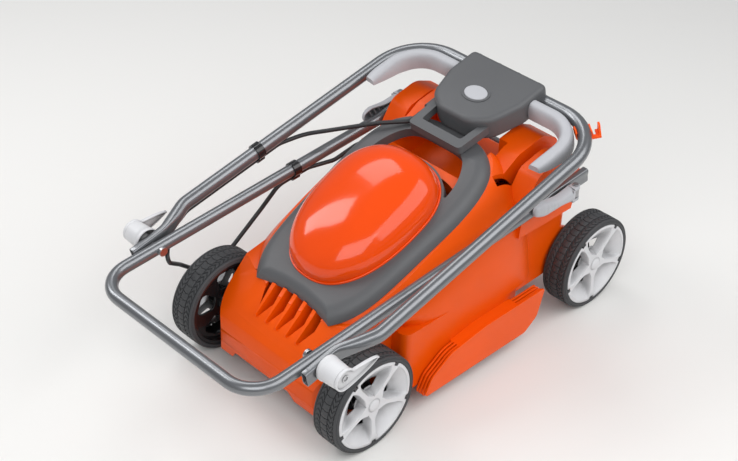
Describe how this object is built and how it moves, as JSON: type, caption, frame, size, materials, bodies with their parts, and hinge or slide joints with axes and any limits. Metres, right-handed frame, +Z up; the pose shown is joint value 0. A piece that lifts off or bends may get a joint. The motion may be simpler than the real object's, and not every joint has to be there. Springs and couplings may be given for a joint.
{
  "type": "lawn mower",
  "caption": "Small electric push lawn mower with a domed motor cover, folding two-part tube handle, switch box with squeeze levers, four wheels and a spinning blade under the deck.",
  "frame": {"origin": "on the floor, under the centre of the folded mower's footprint", "axes": "+Z up, -Y to the front of the mower, +X to the right-hand side seen from the front"},
  "size_m": [0.4706, 0.8302, 0.3932],
  "materials": {
    "orange_gloss": "glossy moulded cover",
    "orange_shell": "semi-gloss moulded shell",
    "dark_grey_plastic": "fine matt texture",
    "light_grey_plastic": "smooth light grey",
    "black_plastic": "moulded black",
    "tube_paint": "metallic dark grey powder coat",
    "tyre": "soft tread",
    "steel": "plated steel",
    "lead_rubber": "flexible sheath",
    "core_steel": "laminated core",
    "copper": "enamelled winding wire",
    "cast_aluminium": "as cast"
  },
  "bodies": {
    "deck": {"deck_shell": "orange_shell", "side_comb_left": "orange_shell", "side_comb_right": "orange_shell", "top_cowl": "dark_grey_plastic", "motor_cover": "orange_gloss", "cowl_screws": "steel", "motor_lower_bracket": "cast_aluminium", "motor_upper_bracket": "cast_aluminium", "stator_core": "core_steel", "stator_windings": "copper", "motor_bearings": "steel", "motor_bolts": "steel", "capacitor": "cast_aluminium", "flap_hinge_pin": "steel", "lead_deck": "lead_rubber"},
    "front_axle": {"front_axle": "steel", "front_axle_caps": "steel"},
    "rear_axle": {"rear_axle": "steel", "rear_axle_caps": "steel"},
    "rotor": {"rotor_core": "cast_aluminium", "motor_shaft": "steel", "cooling_fan": "black_plastic", "blade_carrier": "black_plastic", "blade": "steel", "blade_bolt": "steel"},
    "lower_handle": {"lower_handle": "tube_paint", "knob_bolts": "steel", "handle_pivot_bolts": "steel", "cam_pins": "steel", "lower_lead_clip": "black_plastic", "lead_lower": "lead_rubber"},
    "upper_handle": {"upper_handle": "tube_paint", "box_cover": "dark_grey_plastic", "box_base": "dark_grey_plastic", "box_screws": "steel", "switch_unit": "black_plastic", "upper_lead_clip": "black_plastic", "lead_upper": "lead_rubber", "cable_cleat": "orange_shell"},
    "start_levers": {"start_lever_left": "light_grey_plastic", "start_lever_right": "light_grey_plastic", "lever_shaft": "black_plastic"},
    "lock_button": {"lock_button": "light_grey_plastic"},
    "knob_left": {"knob_left": "light_grey_plastic"},
    "knob_right": {"knob_right": "light_grey_plastic"},
    "cam_lever_left": {"cam_lever_left": "light_grey_plastic"},
    "cam_lever_right": {"cam_lever_right": "light_grey_plastic"},
    "rear_flap": {"rear_flap": "dark_grey_plastic"},
    "front_left_wheel": {"front_left_tyre": "tyre", "front_left_wheel": "black_plastic", "front_left_hubcap": "light_grey_plastic"},
    "front_right_wheel": {"front_right_tyre": "tyre", "front_right_wheel": "black_plastic", "front_right_hubcap": "light_grey_plastic"},
    "rear_left_wheel": {"rear_left_tyre": "tyre", "rear_left_wheel": "black_plastic", "rear_left_hubcap": "light_grey_plastic"},
    "rear_right_wheel": {"rear_right_tyre": "tyre", "rear_right_wheel": "black_plastic", "rear_right_hubcap": "light_grey_plastic"}
  },
  "joints": [
    {"name": "front_height", "type": "slide", "parent": "deck", "child": "front_axle", "axis": [0, 0, 1], "range_m": [-0.015, 0.015]},
    {"name": "rear_height", "type": "slide", "parent": "deck", "child": "rear_axle", "axis": [0, 0, 1], "range_m": [-0.015, 0.015]},
    {"name": "front_left_roll", "type": "hinge", "parent": "front_axle", "child": "front_left_wheel", "pos_m": [-0.1628, -0.18345, 0.082], "axis": [1, 0, 0], "continuous": true},
    {"name": "front_right_roll", "type": "hinge", "parent": "front_axle", "child": "front_right_wheel", "pos_m": [0.1628, -0.18345, 0.082], "axis": [1, 0, 0], "continuous": true},
    {"name": "rear_left_roll", "type": "hinge", "parent": "rear_axle", "child": "rear_left_wheel", "pos_m": [-0.1628, 0.33315, 0.082], "axis": [1, 0, 0], "continuous": true},
    {"name": "rear_right_roll", "type": "hinge", "parent": "rear_axle", "child": "rear_right_wheel", "pos_m": [0.1628, 0.33315, 0.082], "axis": [1, 0, 0], "continuous": true},
    {"name": "motor_spin", "type": "hinge", "parent": "deck", "child": "rotor", "pos_m": [0, 0.03885, 0.06], "axis": [0, 0, 1], "continuous": true},
    {"name": "lower_fold", "type": "hinge", "parent": "deck", "child": "lower_handle", "pos_m": [0, 0.23985, 0.27095], "axis": [1, 0, 0], "range_deg": [-144.7, 0], "deforming": ["lead_deck"]},
    {"name": "upper_fold", "type": "hinge", "parent": "lower_handle", "child": "upper_handle", "pos_m": [0, -0.29415, 0.22743], "axis": [1, 0, 0], "range_deg": [0, 172], "deforming": ["lead_upper"]},
    {"name": "start_squeeze", "type": "hinge", "parent": "upper_handle", "child": "start_levers", "pos_m": [0, 0.25767, 0.36795], "axis": [1, 0, 0], "range_deg": [0, 9], "stiffness_Nm_per_rad": 3, "springref_deg": -8.59},
    {"name": "lock_press", "type": "slide", "parent": "upper_handle", "child": "lock_button", "axis": [0, -0.2331, 0.9724], "range_m": [-0.004, 0], "stiffness_N_per_m": 900, "springref_m": 0.003},
    {"name": "knob_left_turn", "type": "hinge", "parent": "lower_handle", "child": "knob_left", "pos_m": [-0.21, -0.29415, 0.22743], "axis": [1, 0, 0], "continuous": true},
    {"name": "cam_left_open", "type": "hinge", "parent": "lower_handle", "child": "cam_lever_left", "pos_m": [-0.19, 0.23985, 0.27095], "axis": [0, 0, 1], "range_deg": [-100, 0]},
    {"name": "knob_right_turn", "type": "hinge", "parent": "lower_handle", "child": "knob_right", "pos_m": [0.21, -0.29415, 0.22743], "axis": [1, 0, 0], "continuous": true},
    {"name": "cam_right_open", "type": "hinge", "parent": "lower_handle", "child": "cam_lever_right", "pos_m": [0.19, 0.23985, 0.27095], "axis": [0, 0, 1], "range_deg": [0, 100]},
    {"name": "flap_open", "type": "hinge", "parent": "deck", "child": "rear_flap", "pos_m": [0, 0.31985, 0.222], "axis": [1, 0, 0], "range_deg": [0, 75], "stiffness_Nm_per_rad": 0.25, "springref_deg": -20.05}
  ],
  "couplings": [
    {"joint": "upper_fold", "follows": "lower_fold", "ratio": -1.188}
  ]
}
